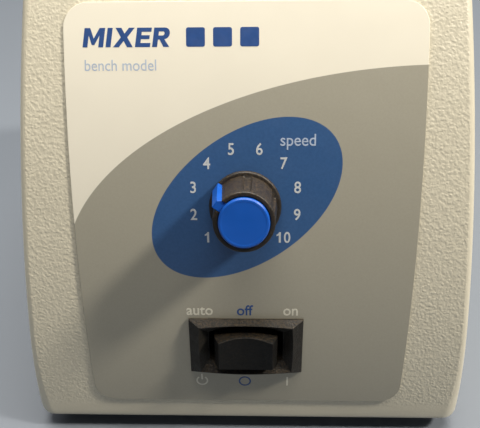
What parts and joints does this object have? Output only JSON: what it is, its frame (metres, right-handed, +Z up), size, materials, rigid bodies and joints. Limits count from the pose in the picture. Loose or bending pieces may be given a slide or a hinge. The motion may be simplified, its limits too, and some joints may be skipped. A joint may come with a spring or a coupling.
{
  "type": "vortex mixer",
  "caption": "Bench vortex mixer with a sloping control face, speed knob, rocker switch and a dished cup head that orbits when driven or pressed.",
  "frame": {"origin": "middle of the footprint, on the bench surface under the feet", "axes": "+Z up, control face towards -Y, power inlet towards +Y, +X to the right as the user faces the controls"},
  "size_m": [0.122, 0.2118, 0.165],
  "materials": {
    "paint": "satin",
    "steel_plate": "satin",
    "screw_steel": "satin",
    "foot_rubber": "matte",
    "plate_foil": "satin",
    "label": "satin",
    "neck_plastic": "satin",
    "spring_steel": "satin",
    "pot_metal": "satin",
    "switch_plastic": "satin",
    "brass_parts": "satin",
    "board": "satin",
    "nylon": "satin",
    "capacitor_sleeve": "gloss",
    "black_aluminium": "matte",
    "terminal_green": "satin",
    "wire_brown": "satin",
    "wire_blue": "satin",
    "bronze": "satin",
    "lamination": "matte",
    "copper": "gloss",
    "cast_aluminium": "matte",
    "ground_steel": "gloss",
    "fan_plastic": "matte",
    "cup_rubber": "matte",
    "knob_plastic": "satin",
    "cap_blue": "satin",
    "rocker_plastic": "satin",
    "fuse_glass": "gloss"
  },
  "bodies": {
    "root": {"housing": "paint", "base_plate": "steel_plate", "base_screws": "screw_steel", "rubber_feet": "foot_rubber", "foot_screws": "screw_steel", "rating_plate": "plate_foil", "front_label": "label", "neck_ring": "neck_plastic", "guide_posts": "screw_steel", "spring_seats": "screw_steel", "post_nuts": "screw_steel", "stop_buffers": "foot_rubber", "return_springs": "spring_steel", "speed_pot": "pot_metal", "pot_nut": "screw_steel", "switch_body": "switch_plastic", "switch_terminals": "brass_parts", "inlet_body": "switch_plastic", "inlet_pins": "brass_parts", "control_board": "board", "board_standoffs": "nylon", "m3_screws": "screw_steel", "filter_capacitor": "capacitor_sleeve", "heat_sink": "black_aluminium", "power_transistor": "switch_plastic", "terminal_block": "terminal_green", "inlet_wires": "wire_brown", "switch_wires": "wire_blue", "touch_switch": "switch_plastic", "touch_switch_bracket": "steel_plate"},
    "carriage": {"motor_plate": "steel_plate", "guide_bushes": "bronze", "stator_core": "lamination", "stator_windings": "copper", "top_bracket": "cast_aluminium", "bottom_bracket": "cast_aluminium", "shaft_bushes": "bronze", "motor_bolts": "screw_steel", "motor_nuts": "screw_steel"},
    "rotor": {"motor_shaft": "ground_steel", "rotor_core": "lamination", "cooling_fan": "fan_plastic", "eccentric_hub": "ground_steel", "hub_set_screw": "screw_steel", "crank_pin": "ground_steel", "bearing_inner_races": "ground_steel"},
    "head": {"bearing_outer_races": "ground_steel", "bearing_balls": "ground_steel", "bearing_retainer": "spring_steel", "head_hub": "cast_aluminium", "head_platform": "cast_aluminium", "platform_screws": "screw_steel", "rubber_cup": "cup_rubber"},
    "knob": {"speed_knob": "knob_plastic", "knob_cap": "cap_blue", "pot_shaft": "screw_steel"},
    "rocker": {"rocker": "rocker_plastic"},
    "touch_lever": {"touch_lever": "spring_steel"},
    "fuse_drawer": {"fuse_drawer": "switch_plastic", "fuse": "fuse_glass"}
  },
  "joints": [
    {"name": "touch_press", "type": "slide", "parent": "root", "child": "carriage", "axis": [0, 0, 1], "range_m": [-0.002, 0], "stiffness_N_per_m": 3000, "springref_m": 0.006, "deforming": ["return_springs"]},
    {"name": "motor_spin", "type": "hinge", "parent": "carriage", "child": "rotor", "pos_m": [0, -0.007, 0.06], "axis": [0, 0, 1], "continuous": true},
    {"name": "head_orbit", "type": "hinge", "parent": "rotor", "child": "head", "pos_m": [0.00245, -0.007, 0.12], "axis": [0, 0, 1], "continuous": true},
    {"name": "speed_knob", "type": "hinge", "parent": "root", "child": "knob", "pos_m": [0, -0.08822, 0.07092], "axis": [0, 0.9493, -0.3142], "range_deg": [-80, 190]},
    {"name": "rocker_tilt", "type": "hinge", "parent": "root", "child": "rocker", "pos_m": [0, -0.09397, 0.03213], "axis": [0, 0.1521, 0.9884], "range_deg": [-11, 11]},
    {"name": "touch_lever_swing", "type": "hinge", "parent": "root", "child": "touch_lever", "pos_m": [-0.0095, 0.0298, 0.0952], "axis": [0, 1, 0], "range_deg": [0, 6.57]},
    {"name": "fuse_drawer_pull", "type": "slide", "parent": "root", "child": "fuse_drawer", "axis": [0, 0.9589, 0.2837], "range_m": [0, 0.016]}
  ],
  "couplings": [
    {"joint": "head_orbit", "follows": "motor_spin", "ratio": -1},
    {"joint": "touch_lever_swing", "follows": "touch_press", "rad_per_m": -55.556}
  ]
}
